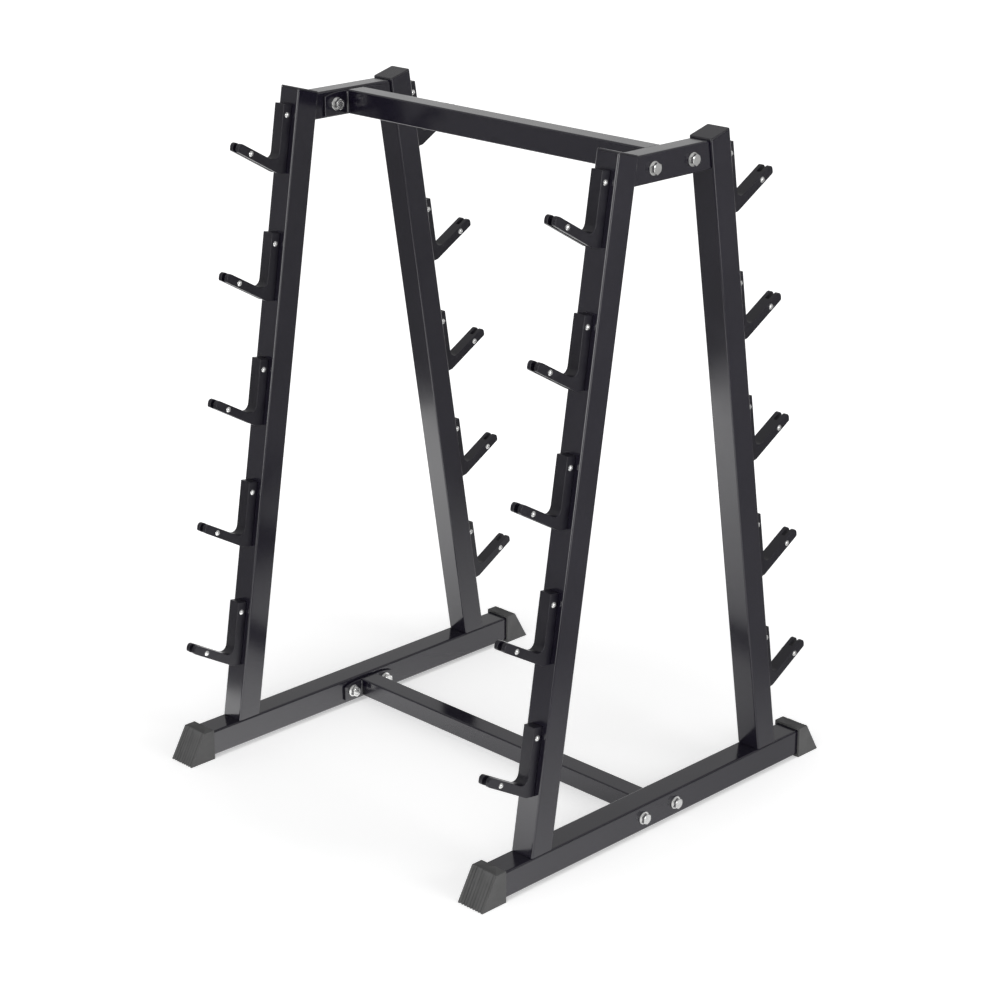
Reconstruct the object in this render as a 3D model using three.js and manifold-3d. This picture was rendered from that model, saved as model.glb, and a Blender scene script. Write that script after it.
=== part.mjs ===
// Barbell storage rack: two A-frames of square steel tube, joined by an upper and a lower crossbar.
// Every leaning post carries five hooks on its outer face, so ten bars lie across the two frames.
//
// Millimetres, +Z up. X runs along the crossbars and the stored bars, Y along the base tubes.
// The origin is on the floor, in the middle of the rack. The rack is alike on both sides of X = 0
// and of Y = 0. Front is -Y, rear is +Y, left is -X and right is +X.

import * as THREE from 'three';
import { mergeVertices } from 'three/addons/utils/BufferGeometryUtils.js';
import Module from 'manifold-3d';

const wasm = await Module();
wasm.setup();

// Clearances
const fitGap = 0.3; // between two pieces that are welded, pressed or pushed together
const overrun = 2; // how far a cutter runs past the face that it cuts

// Frames
const frameOffset = 392; // from the middle of the rack to the middle of each A-frame, along X

// Base tubes
const baseWidth = 50;
const baseHeight = 50;
const baseWall = 3;
const baseOverhang = 110.8; // from a post's axis at its foot to the end of the tube
const baseClearance = 5; // floor to the underside of the base tube
const tubeCornerRadius = 4;

// Rubber feet
const footWall = 4.5; // rubber over the top and the sides of the tube
const footSleeveLength = 23.2; // along the top of the tube
const footGrip = 18.7; // how much of the tube end is inside the rubber
const footToeRun = 34.7; // how far the toe slopes outward on its way to the floor
const footRibCount = 9;
const footGrooveDepth = 1.6;
const footGrooveWidthShare = 0.45; // of the rib pitch

// Leaning posts
const postWidth = 50; // along X
const postDepth = 50; // across the lean
const postWall = 3;
const postLean = THREE.MathUtils.degToRad(9.09);
const postPeakHeight = 1249.4; // floor to the highest edge of the steel, on the outer face
const postTopOffset = 113.73; // from the middle of the rack to the post's axis at its top, along Y
const postTopSlope = THREE.MathUtils.degToRad(15.3); // the top face falls toward the middle of the rack

// Post caps
const capThickness = 3;
const capEdge = 1.2; // bevel round the top of the cap
const capPlugDepth = 14;
const capPlugWall = 2;

// Top tubes, between the two posts of a frame
const topTubeWidth = 40; // along X
const topTubeHeight = 50;
const topTubeWall = 3;
const topTubeDrop = 37.9; // from the posts' highest edge to the tube's middle

// Crossbars
const crossbarDepth = 40; // along Y
const crossbarWall = 2.5;
const crossbarCornerRadius = 3;
const upperBarHeight = 45;
const lowerBarHeight = 36;
const lowerBarLevel = 30.5; // floor to the lower bar's middle

// End plates, welded across the ends of the crossbars
const plateThickness = 5;
const upperPlateLength = 150;
const upperPlateHeight = 43;
const lowerPlateLength = 126;
const lowerPlateHeight = 34.5;
const plateShoulderDrop = 5.5; // how far the arched top edge has fallen at the ends of the plate
const plateFlatShare = 0.5; // of the plate's length, level along the top
const plateArchSteps = 5;

// Bolts, nuts and washers
const boltDiameter = 12;
const boltHoleDiameter = 13.5;
const upperBoltEdge = 26.5; // from the end of the plate to the bolt's axis
const lowerBoltEdge = 20;
const washerDiameter = 24;
const washerThickness = 2.5;
const headAcrossFlats = 18;
const headHeight = 7.5;
const nutHeight = 10;
const boltEndInset = 2; // the bolt's end lies this far inside the nut

// Hooks: a steel plate on edge, welded to the post, in a moulded sleeve
const hookCount = 5; // on each post
const firstHookHeight = 110.9; // from the foot of the post's outer face to the lowest hook's base
const lastHookDrop = 28.5; // from the top of the post's outer face to the top of the highest hook
const sleeveWidth = 25;
const legLength = 126.2;
const legDepth = 20;
const armAngle = THREE.MathUtils.degToRad(21); // above square to the post
const armThickness = 17.1;
const armReach = 116.8; // from the post's face to the tip
const heelDepth = 19; // from the post's face to where the underside starts to rise
const cradleRadius = 14; // where the bar lies
const tipTopRadius = 8;
const tipBottomRadius = 4;
const sleeveSkin = 4; // plastic over the edge of the steel plate
const hookPlateThickness = 8;
const hookPlateReach = 92; // from the post's face
const hookPlateInset = 1; // the plate's lower edge lies this far inside the sleeve
const hookPlateWeld = 1; // how far the welded edge runs into the post's wall

// Smoothness: the number of straight steps in each rounded corner is twice this
const cornerSteps = 2;
const cradleSteps = 3;
const roundSides = 24;

const powderCoat = { color: 0x2f2f33, roughness: 0.32, metalness: 0.45 };
const blackPlastic = { color: 0x232326, roughness: 0.5, metalness: 0 };
const greyRubber = { color: 0x585858, roughness: 0.85, metalness: 0 };
const zincPlate = { color: 0xc9cacd, roughness: 0.25, metalness: 1 };

// Sizes that follow from the ones above
const baseTop = baseClearance + baseHeight;
const postFaceOffset = postDepth / 2;
const postPeak = (postPeakHeight - baseTop - postFaceOffset * Math.sin(postLean)) / Math.cos(postLean);
const postFootOffset = postTopOffset + postPeak * Math.sin(postLean);
const baseLength = 2 * (postFootOffset + baseOverhang);
const topTubeLevel = postPeakHeight - topTubeDrop;
const upperBoltOffset = upperPlateLength / 2 - upperBoltEdge;
const lowerBoltOffset = lowerPlateLength / 2 - lowerBoltEdge;
const topTubeFace = frameOffset - topTubeWidth / 2;
const baseFace = frameOffset - baseWidth / 2;
const unitX = new THREE.Vector3(1, 0, 0);
const unitY = new THREE.Vector3(0, 1, 0);
const unitZ = new THREE.Vector3(0, 0, 1);

// Solids

function solidOf(geometry) {
  const bare = geometry.clone();
  bare.deleteAttribute('normal');
  bare.deleteAttribute('uv');
  const joined = mergeVertices(bare);
  return new wasm.Manifold(new wasm.Mesh({
    numProp: 3,
    vertProperties: new Float32Array(joined.attributes.position.array),
    triVerts: new Uint32Array(joined.index.array),
  }));
}

function geometryOf(solid) {
  const mesh = solid.getMesh();
  const geometry = new THREE.BufferGeometry();
  geometry.setAttribute('position', new THREE.BufferAttribute(mesh.vertProperties, mesh.numProp));
  geometry.setIndex(new THREE.BufferAttribute(mesh.triVerts, 1));
  const faceted = geometry.toNonIndexed();
  faceted.computeVertexNormals();
  return faceted;
}

function cut(geometry, cutters) {
  let solid = solidOf(geometry);
  for (const cutter of cutters) {
    solid = solid.subtract(solidOf(cutter));
  }
  return geometryOf(solid);
}

function join(geometries) {
  let solid = solidOf(geometries[0]);
  for (const geometry of geometries.slice(1)) {
    solid = solid.add(solidOf(geometry));
  }
  return geometryOf(solid);
}

function reshape(geometry, change) {
  const position = geometry.attributes.position;
  const point = new THREE.Vector3();
  for (let i = 0; i < position.count; i += 1) {
    point.fromBufferAttribute(position, i);
    change(point);
    position.setXYZ(i, point.x, point.y, point.z);
  }
  geometry.computeVertexNormals();
  return geometry;
}

// Outlines

// A closed outline through corners [across, up, radius], each rounded by an arc of its radius.
function outline(corners, path = new THREE.Shape()) {
  corners.forEach(([x, y, radius], i) => {
    const corner = new THREE.Vector2(x, y);
    const [beforeX, beforeY] = corners.at(i - 1);
    const [afterX, afterY] = corners[(i + 1) % corners.length];
    const toBefore = new THREE.Vector2(beforeX, beforeY).sub(corner).normalize();
    const toAfter = new THREE.Vector2(afterX, afterY).sub(corner).normalize();
    const halfAngle = Math.acos(toBefore.dot(toAfter)) / 2;
    const start = corner.clone().addScaledVector(toBefore, radius / Math.tan(halfAngle));
    if (i === 0) {
      path.moveTo(start.x, start.y);
    } else {
      path.lineTo(start.x, start.y);
    }
    if (radius > 0) {
      const middle = toBefore.clone().add(toAfter).normalize();
      const centre = corner.clone().addScaledVector(middle, radius / Math.sin(halfAngle));
      const end = corner.clone().addScaledVector(toAfter, radius / Math.tan(halfAngle));
      const clockwise = toBefore.cross(toAfter) > 0;
      path.absarc(centre.x, centre.y, radius, start.sub(centre).angle(), end.sub(centre).angle(), clockwise);
    }
  });
  path.closePath();
  return path;
}

function rectangle(width, height, radius = 0, path = new THREE.Shape()) {
  const [right, top] = [width / 2, height / 2];
  return outline([
    [-right, -top, radius],
    [right, -top, radius],
    [right, top, radius],
    [-right, top, radius],
  ], path);
}

function tubeSection(width, height, radius, wall) {
  const section = rectangle(width, height, radius);
  section.holes.push(rectangle(width - 2 * wall, height - 2 * wall, 0, new THREE.Path()));
  return section;
}

function circle(diameter) {
  const points = [];
  for (let i = 0; i < roundSides; i += 1) {
    const angle = (2 * Math.PI * i) / roundSides;
    points.push(new THREE.Vector2(Math.cos(angle), Math.sin(angle)).multiplyScalar(diameter / 2));
  }
  return new THREE.Shape(points);
}

function hexagon(acrossFlats) {
  const points = [];
  for (let i = 0; i < 6; i += 1) {
    const angle = (Math.PI * i) / 3 + Math.PI / 2;
    points.push(new THREE.Vector2(Math.cos(angle), Math.sin(angle)).multiplyScalar(acrossFlats / Math.sqrt(3)));
  }
  return new THREE.Shape(points);
}

// Extrusions: alongX draws its section in (Y, Z), alongY in (Z, X) and alongZ in (X, Y).

function extrude(section, start, length, axes, curveSegments = cornerSteps, steps = 1) {
  const geometry = new THREE.ExtrudeGeometry(section, {
    depth: length,
    steps,
    curveSegments,
    bevelEnabled: false,
  });
  geometry.translate(0, 0, start);
  return geometry.applyMatrix4(new THREE.Matrix4().makeBasis(...axes));
}

function alongX(section, start, length, curveSegments) {
  return extrude(section, start, length, [unitY, unitZ, unitX], curveSegments);
}

function alongY(section, start, length) {
  return extrude(section, start, length, [unitZ, unitX, unitY]);
}

function alongZ(section, start, length, steps) {
  return extrude(section, start, length, [unitX, unitY, unitZ], cornerSteps, steps);
}

// Cutters for the two bolt holes through a wall or a tube of the given width, centred on X = 0
function boltHoles(boltOffset, level, width) {
  const length = width + 2 * overrun;
  return [-1, 1].map((side) => (
    alongX(circle(boltHoleDiameter), -length / 2, length).translate(0, side * boltOffset, level)
  ));
}

// Base tubes and feet

function baseTube() {
  const tube = alongY(
    tubeSection(baseHeight, baseWidth, tubeCornerRadius, baseWall),
    -baseLength / 2,
    baseLength,
  );
  tube.translate(0, 0, baseClearance + baseHeight / 2);
  return cut(tube, boltHoles(lowerBoltOffset, lowerBarLevel, baseWidth));
}

// The rubber cap on a front tube end, seen from above: a block with a ribbed toe.
function footOutline() {
  const halfWidth = baseWidth / 2 + fitGap + footWall;
  const back = -baseLength / 2 + footGrip;
  const toe = back - footSleeveLength - footToeRun;
  const pitch = (2 * halfWidth) / footRibCount;
  const halfGroove = (pitch * footGrooveWidthShare) / 2;
  const points = [new THREE.Vector2(halfWidth, back), new THREE.Vector2(-halfWidth, back)];
  points.push(new THREE.Vector2(-halfWidth, toe));
  for (let i = 1; i < footRibCount; i += 1) {
    const middle = -halfWidth + i * pitch;
    points.push(new THREE.Vector2(middle - halfGroove, toe));
    points.push(new THREE.Vector2(middle, toe + footGrooveDepth));
    points.push(new THREE.Vector2(middle + halfGroove, toe));
  }
  points.push(new THREE.Vector2(halfWidth, toe));
  return new THREE.Shape(points);
}

function foot() {
  const height = baseTop + fitGap + footWall;
  const back = -baseLength / 2 + footGrip;
  const block = reshape(alongZ(footOutline(), 0, height), (point) => {
    if (point.y < back - footSleeveLength) {
      point.y += (footToeRun * point.z) / height;
    }
  });
  const socket = alongY(
    rectangle(baseHeight + 2 * fitGap, baseWidth + 2 * fitGap, tubeCornerRadius),
    -baseLength / 2 - fitGap,
    footGrip + fitGap + overrun,
  );
  socket.translate(0, 0, baseClearance + baseHeight / 2);
  return cut(block, [socket]);
}

// Posts. A post is drawn upright, with its foot on the origin and its outer face toward -Y, and is
// leaned by its group. Its foot is cut level, and its top to the slope of the cap.

const leanSlope = Math.tan(postLean);
const topCutSlope = Math.tan(postTopSlope - postLean);

// Heights along the post, at a place y across it
const footCut = (y) => y * leanSlope + fitGap / Math.cos(postLean);
const topCut = (y) => postPeak - (y + postFaceOffset) * topCutSlope;

// Where each hook's base is along the post. The hooks share out the post between its lowest and
// highest ones.
function hookBases() {
  const first = firstHookHeight - postFaceOffset * leanSlope;
  const last = postPeak - lastHookDrop - legLength;
  return Array.from({ length: hookCount }, (_, i) => first + ((last - first) * i) / (hookCount - 1));
}

// The L-shaped outline of a hook: out is away from the post's face, up is along the post.
// The arm's underside rises from the heel at armAngle, and its end is cut parallel to the post.
function hookOutline({ back, bottom, heel, front, top, thickness, reach, cradle, tipTop, tipBottom }) {
  const rise = Math.tan(armAngle);
  const underside = (out) => bottom + (out - heel) * rise;
  const upperSide = (out) => underside(out) + thickness / Math.cos(armAngle);
  const corners = [
    [back, bottom, 0],
    [heel, bottom, 0],
    [reach, underside(reach), tipBottom],
    [reach, upperSide(reach), tipTop],
    [front, upperSide(front), cradle],
    [front, top, 0],
    [back, top, 0],
  ];
  return outline(corners.map(([out, up, radius]) => [-postFaceOffset - out, up, radius]).reverse());
}

// The steel plate of a hook. It lies in the sleeve's pocket, and its back edge is in the post's wall.
function hookPlate(base) {
  const section = hookOutline({
    back: -hookPlateWeld,
    bottom: base + hookPlateInset,
    heel: heelDepth,
    front: legDepth - sleeveSkin - fitGap,
    top: base + legLength - sleeveSkin - fitGap,
    thickness: armThickness - sleeveSkin - fitGap - hookPlateInset,
    reach: hookPlateReach,
    cradle: cradleRadius + sleeveSkin + fitGap,
    tipTop: 0,
    tipBottom: 0,
  });
  return alongX(section, -hookPlateThickness / 2, hookPlateThickness, cradleSteps);
}

function post() {
  const section = tubeSection(postWidth, postDepth, tubeCornerRadius, postWall);
  const tube = reshape(alongZ(section, 0, postPeak), (point) => {
    point.z = point.z > 0 ? topCut(point.y) : footCut(point.y);
  });
  const plates = hookBases().map(hookPlate);
  return join([tube, ...plates]);
}

// The moulded sleeve on a hook, open at the back and underneath for the plate, and split at its tip.
function hookSleeve(base) {
  const body = alongX(
    hookOutline({
      back: fitGap,
      bottom: base,
      heel: heelDepth,
      front: legDepth,
      top: base + legLength,
      thickness: armThickness,
      reach: armReach,
      cradle: cradleRadius,
      tipTop: tipTopRadius,
      tipBottom: tipBottomRadius,
    }),
    -sleeveWidth / 2,
    sleeveWidth,
    cradleSteps,
  );
  const slotWidth = hookPlateThickness + 2 * fitGap;
  const pocket = alongX(
    hookOutline({
      back: -overrun,
      bottom: base - overrun,
      heel: heelDepth,
      front: legDepth - sleeveSkin,
      top: base + legLength - sleeveSkin,
      thickness: armThickness - sleeveSkin + overrun * Math.cos(armAngle),
      reach: hookPlateReach + fitGap,
      cradle: cradleRadius + sleeveSkin,
      tipTop: 0,
      tipBottom: 0,
    }),
    -slotWidth / 2,
    slotWidth,
    cradleSteps,
  );
  const slotLength = armReach - hookPlateReach + overrun;
  const slotHeight = legLength;
  const tipSlot = new THREE.BoxGeometry(slotWidth, slotLength, slotHeight);
  tipSlot.translate(0, -postFaceOffset - hookPlateReach - slotLength / 2, base + slotHeight / 2);
  return cut(body, [pocket, tipSlot]);
}

// Post caps: a sloped lid on the end of the tube, with a hollow plug inside it

function postCap() {
  const lift = fitGap / Math.cos(postTopSlope - postLean);
  const levels = [0, capThickness - capEdge, capThickness];
  const blank = alongZ(rectangle(postWidth, postDepth, tubeCornerRadius), 0, capThickness, 2);
  const lid = reshape(blank, (point) => {
    const level = Math.round((2 * point.z) / capThickness);
    if (level === 2) {
      point.x *= 1 - (2 * capEdge) / postWidth;
      point.y *= 1 - (2 * capEdge) / postDepth;
    }
    point.z = topCut(point.y) + lift + levels[level];
  });
  const plugWidth = postWidth - 2 * postWall - 2 * fitGap;
  const plugDepth = postDepth - 2 * postWall - 2 * fitGap;
  const plug = reshape(
    alongZ(tubeSection(plugWidth, plugDepth, 0, capPlugWall), 0, capPlugDepth),
    (point) => {
      const up = point.z > 0 ? lift + capThickness - capEdge : -capPlugDepth;
      point.z = topCut(point.y) + up;
    },
  );
  return join([lid, plug]);
}

// Top tubes, cut to the lean of the posts

function topTube() {
  const section = tubeSection(topTubeHeight, topTubeWidth, tubeCornerRadius, topTubeWall);
  const innerFaceAtFoot = postFootOffset - postFaceOffset / Math.cos(postLean);
  const blank = alongY(section, -innerFaceAtFoot, 2 * innerFaceAtFoot).translate(0, 0, topTubeLevel);
  const tube = reshape(blank, (point) => {
    const reach = innerFaceAtFoot - (point.z - baseTop) * leanSlope - fitGap;
    point.y = Math.sign(point.y) * reach;
  });
  return cut(tube, boltHoles(upperBoltOffset, topTubeLevel, topTubeWidth));
}

// Crossbars and their end plates

function crossbar(height, endFace) {
  const length = 2 * (endFace - plateThickness - 2 * fitGap);
  return alongX(
    tubeSection(crossbarDepth, height, crossbarCornerRadius, crossbarWall),
    -length / 2,
    length,
  );
}

function plateOutline(length, height) {
  const [end, top] = [length / 2, height / 2];
  const flat = end * plateFlatShare;
  const points = [new THREE.Vector2(-end, -top), new THREE.Vector2(end, -top)];
  for (let i = plateArchSteps; i >= 0; i -= 1) {
    const share = i / plateArchSteps;
    points.push(new THREE.Vector2(flat + (end - flat) * share, top - plateShoulderDrop * share * share));
  }
  for (let i = 0; i <= plateArchSteps; i += 1) {
    const share = i / plateArchSteps;
    points.push(new THREE.Vector2(-flat - (end - flat) * share, top - plateShoulderDrop * share * share));
  }
  return new THREE.Shape(points);
}

function endPlate(length, height, boltOffset) {
  const plate = alongX(plateOutline(length, height), -plateThickness / 2, plateThickness);
  return cut(plate, boltHoles(boltOffset, 0, plateThickness));
}

// Bolts and nuts, drawn with the tube's outer face at X = 0 and the head toward +X

// A hexagon with its outer corners turned down, as on a bolt head or a nut
function hexBlock(height, start) {
  const block = alongX(hexagon(headAcrossFlats), start, height);
  const cornerRadius = headAcrossFlats / Math.sqrt(3);
  const drop = (cornerRadius - headAcrossFlats / 2) / Math.sqrt(3);
  const profile = [
    new THREE.Vector2(0, start - overrun),
    new THREE.Vector2(cornerRadius + overrun, start - overrun),
    new THREE.Vector2(cornerRadius + overrun, start + height - drop - overrun / Math.sqrt(3)),
    new THREE.Vector2(headAcrossFlats / 2, start + height),
    new THREE.Vector2(0, start + height),
  ];
  const turned = new THREE.LatheGeometry(profile, roundSides);
  turned.applyMatrix4(new THREE.Matrix4().makeBasis(unitZ, unitX, unitY));
  return geometryOf(solidOf(block).intersect(solidOf(turned)));
}

function bolt(grip) {
  const washer = alongX(circle(washerDiameter), fitGap, washerThickness);
  const head = hexBlock(headHeight, fitGap + washerThickness);
  const endX = -grip - fitGap - washerThickness - nutHeight + boltEndInset;
  const shank = alongX(circle(boltDiameter), endX, washerThickness - endX);
  return join([washer, head, shank]);
}

function nut(grip) {
  const faceX = -grip - fitGap;
  const washer = alongX(circle(washerDiameter), faceX - washerThickness, washerThickness);
  const block = hexBlock(nutHeight, -faceX + washerThickness).rotateZ(Math.PI);
  const boreDiameter = boltDiameter + 2 * fitGap;
  const boreLength = nutHeight + washerThickness + 2 * overrun;
  const bore = alongX(circle(boreDiameter), faceX - boreLength + overrun, boreLength);
  return cut(join([washer, block]), [bore]);
}

// Assembly

function piece(name, geometry, finish) {
  const mesh = new THREE.Mesh(geometry, new THREE.MeshStandardMaterial(finish));
  mesh.name = name;
  return mesh;
}

function buildSide(frameName, sideName, shapes) {
  const side = new THREE.Group();
  const name = `${frameName}_${sideName}`;
  side.add(piece(`${name}_foot`, shapes.foot, greyRubber));
  const leaning = new THREE.Group();
  leaning.position.set(0, -postFootOffset, baseTop);
  leaning.rotation.x = -postLean;
  leaning.add(piece(`${name}_post`, shapes.post, powderCoat));
  leaning.add(piece(`${name}_post_cap`, shapes.postCap, blackPlastic));
  shapes.sleeves.forEach((sleeve, i) => {
    leaning.add(piece(`${name}_hook_sleeve_${i + 1}`, sleeve, blackPlastic));
  });
  side.add(leaning);
  return side;
}

function buildFrame(frameName, shapes) {
  const frame = new THREE.Group();
  frame.add(piece(`${frameName}_base_tube`, shapes.baseTube, powderCoat));
  frame.add(piece(`${frameName}_top_tube`, shapes.topTube, powderCoat));
  const front = buildSide(frameName, 'front', shapes);
  const rear = buildSide(frameName, 'rear', shapes);
  rear.rotation.z = Math.PI;
  frame.add(front, rear);
  return frame;
}

// A crossbar with its end plates, and the bolts that fix it to the two frames
function buildCrossbar(name, { height, level, face, faceWidth, plateLength, plateHeight, boltOffset }) {
  const group = new THREE.Group();
  group.position.z = level;
  group.add(piece(`${name}_crossbar`, crossbar(height, face), powderCoat));
  const grip = faceWidth + plateThickness + fitGap;
  const shapes = {
    plate: endPlate(plateLength, plateHeight, boltOffset),
    bolt: bolt(grip),
    nut: nut(grip),
  };
  for (const [endName, turn] of [['right', 0], ['left', Math.PI]]) {
    const end = new THREE.Group();
    end.rotation.z = turn;
    const plate = piece(`${name}_${endName}_plate`, shapes.plate, powderCoat);
    plate.position.x = face - fitGap - plateThickness / 2;
    end.add(plate);
    for (const side of [-1, 1]) {
      const sideName = (side < 0) === (turn === 0) ? 'front' : 'rear';
      for (const kind of ['bolt', 'nut']) {
        const fastener = piece(`${name}_${endName}_${sideName}_${kind}`, shapes[kind], zincPlate);
        fastener.position.set(face + faceWidth, side * boltOffset, 0);
        end.add(fastener);
      }
    }
    group.add(end);
  }
  return group;
}

function buildRack() {
  const rack = new THREE.Group();
  const shapes = {
    baseTube: baseTube(),
    topTube: topTube(),
    foot: foot(),
    post: post(),
    postCap: postCap(),
    sleeves: hookBases().map(hookSleeve),
  };
  for (const [frameName, side] of [['left', -1], ['right', 1]]) {
    const frame = buildFrame(frameName, shapes);
    frame.position.x = side * frameOffset;
    rack.add(frame);
  }
  rack.add(buildCrossbar('upper', {
    height: upperBarHeight,
    level: topTubeLevel,
    face: topTubeFace,
    faceWidth: topTubeWidth,
    plateLength: upperPlateLength,
    plateHeight: upperPlateHeight,
    boltOffset: upperBoltOffset,
  }));
  rack.add(buildCrossbar('lower', {
    height: lowerBarHeight,
    level: lowerBarLevel,
    face: baseFace,
    faceWidth: baseWidth,
    plateLength: lowerPlateLength,
    plateHeight: lowerPlateHeight,
    boltOffset: lowerBoltOffset,
  }));
  return rack;
}

export default buildRack();
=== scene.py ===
"""Looks of a barbell storage rack, built round its packed construction.

Metres, +Z up. X runs along the crossbars, Y along the base tubes. Front is -Y and left is -X.
"""

import logging
import math
from collections.abc import Callable, Iterable
from dataclasses import dataclass, field
from enum import Enum

import bmesh
import bpy
from bmesh.types import BMEdge, BMesh, BMFace, BMVert
from bpy.types import Material, NodeSocket
from mathutils import Matrix, Vector


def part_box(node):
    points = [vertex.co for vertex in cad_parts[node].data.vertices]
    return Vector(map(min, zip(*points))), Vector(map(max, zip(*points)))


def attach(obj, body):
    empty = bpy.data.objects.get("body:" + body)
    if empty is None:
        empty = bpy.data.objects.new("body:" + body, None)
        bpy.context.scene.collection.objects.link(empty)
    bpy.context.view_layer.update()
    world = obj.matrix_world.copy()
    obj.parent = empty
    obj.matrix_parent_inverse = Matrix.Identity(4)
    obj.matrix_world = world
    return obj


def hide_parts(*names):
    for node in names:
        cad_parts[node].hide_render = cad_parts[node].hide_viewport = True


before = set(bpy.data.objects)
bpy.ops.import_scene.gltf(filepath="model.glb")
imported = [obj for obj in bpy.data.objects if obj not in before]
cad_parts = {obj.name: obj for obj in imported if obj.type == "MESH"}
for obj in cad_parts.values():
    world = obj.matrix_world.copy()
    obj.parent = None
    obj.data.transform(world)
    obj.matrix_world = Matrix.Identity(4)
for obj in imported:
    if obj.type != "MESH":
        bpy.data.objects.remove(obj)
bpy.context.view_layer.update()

BODY = "root"
# The mesh attribute that tells how deep in a foot's groove a point lies, where the rubber's colour is
# darkened as painted shade.
GROOVE_SHADE_MARK = "groove"

# The gap between pieces that are fitted or welded together.
FIT_GAP = 0.0003

# Points this close together are one point, and points this close to a plane are on it.
SAME_PLACE = 1e-6
SAME_PLANE = 1e-7

# An edge runs along an axis where the cosine of the angle between them is more than this.
ALONG = 0.999

# An edge is sharp over the first angle between its faces, or the second on a curved flat outline.
SHARP_ANGLE = math.radians(26)
OUTLINE_ANGLE = math.radians(50)

# Faces within this angle are one flat face.
FLAT_ANGLE = math.radians(0.5)

WHITE = (1, 1, 1, 1)
UNMOVED = Matrix.Identity(4)
HALF_TURN = Matrix.Rotation(math.pi, 4, "Z")

# Two numbers, and what goes into a node by the name or the number of its sockets.
Span = tuple[float, float]
Inputs = dict[str | int, NodeSocket | float | tuple[float, ...]]

log = logging.getLogger("rack")


class Part(Enum):
    """A part of the rack, which names pieces by its own name in small letters."""

    def __str__(self) -> str:
        """The name in small letters."""
        return self.name.lower()


class End(Part):
    """Which end of an A-frame a piece is on, by the sign of its Y."""

    FRONT = -1
    REAR = 1

    @property
    def turn(self) -> Matrix:
        """The turn from a piece at the front to the same piece at this end."""
        return HALF_TURN if self is End.REAR else UNMOVED


class Frame(Part):
    """Which A-frame a piece belongs to, by the sign of its X."""

    LEFT = -1
    RIGHT = 1

    @property
    def turn(self) -> Matrix:
        """The turn from a piece on the right to the same piece on this side."""
        return HALF_TURN if self is Frame.LEFT else UNMOVED


class Level(Part):
    """Which crossbar a piece belongs to."""

    UPPER = 1
    LOWER = 0


# Finishes


class Nodes:
    """The nodes of a material or of the world."""

    def __init__(self, owner: Material | bpy.types.World) -> None:
        """Starts on the tree of a material or of the world."""
        owner.use_nodes = True
        self.tree = owner.node_tree

    def fill(self, name: str, inputs: Inputs) -> None:
        """Gives sockets of a node what goes into them.

        Args:
            name: The node's name.
            inputs: For each socket, its value or the output that drives it.
        """
        for socket, value in inputs.items():
            target = self.tree.nodes[name].inputs[socket]
            if isinstance(value, NodeSocket):
                self.tree.links.new(value, target)
            else:
                target.default_value = value

    def add(self, kind: str, inputs: Inputs, output: str, operation: str = "") -> NodeSocket:
        """Adds a node.

        Args:
            kind: Its kind.
            inputs: For each socket, its value or the output that drives it.
            output: The name of the output that is wanted.
            operation: What it works out, where its kind has a choice.

        Returns:
            The output.
        """
        node = self.tree.nodes.new(kind)
        if operation:
            node.operation = operation
        self.fill(node.name, inputs)
        return node.outputs[output]

    def maths(self, operation: str, *values: NodeSocket | float) -> NodeSocket:
        """Adds a node that works out a number from one, two or three others."""
        return self.add("ShaderNodeMath", dict(enumerate(values)), "Value", operation)

    def spread(
        self, driver: NodeSocket, span: Span, limits: tuple[NodeSocket | float, NodeSocket | float],
    ) -> NodeSocket:
        """Adds a value that goes from one limit to the other.

        Args:
            driver: What drives it.
            span: The driver's values where the limits are reached.
            limits: The two limits.

        Returns:
            The new value.
        """
        ends = dict(zip(("From Min", "From Max", "To Min", "To Max"), (*span, *limits)))
        return self.add("ShaderNodeMapRange", {"Value": driver, **ends}, "Result")


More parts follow.
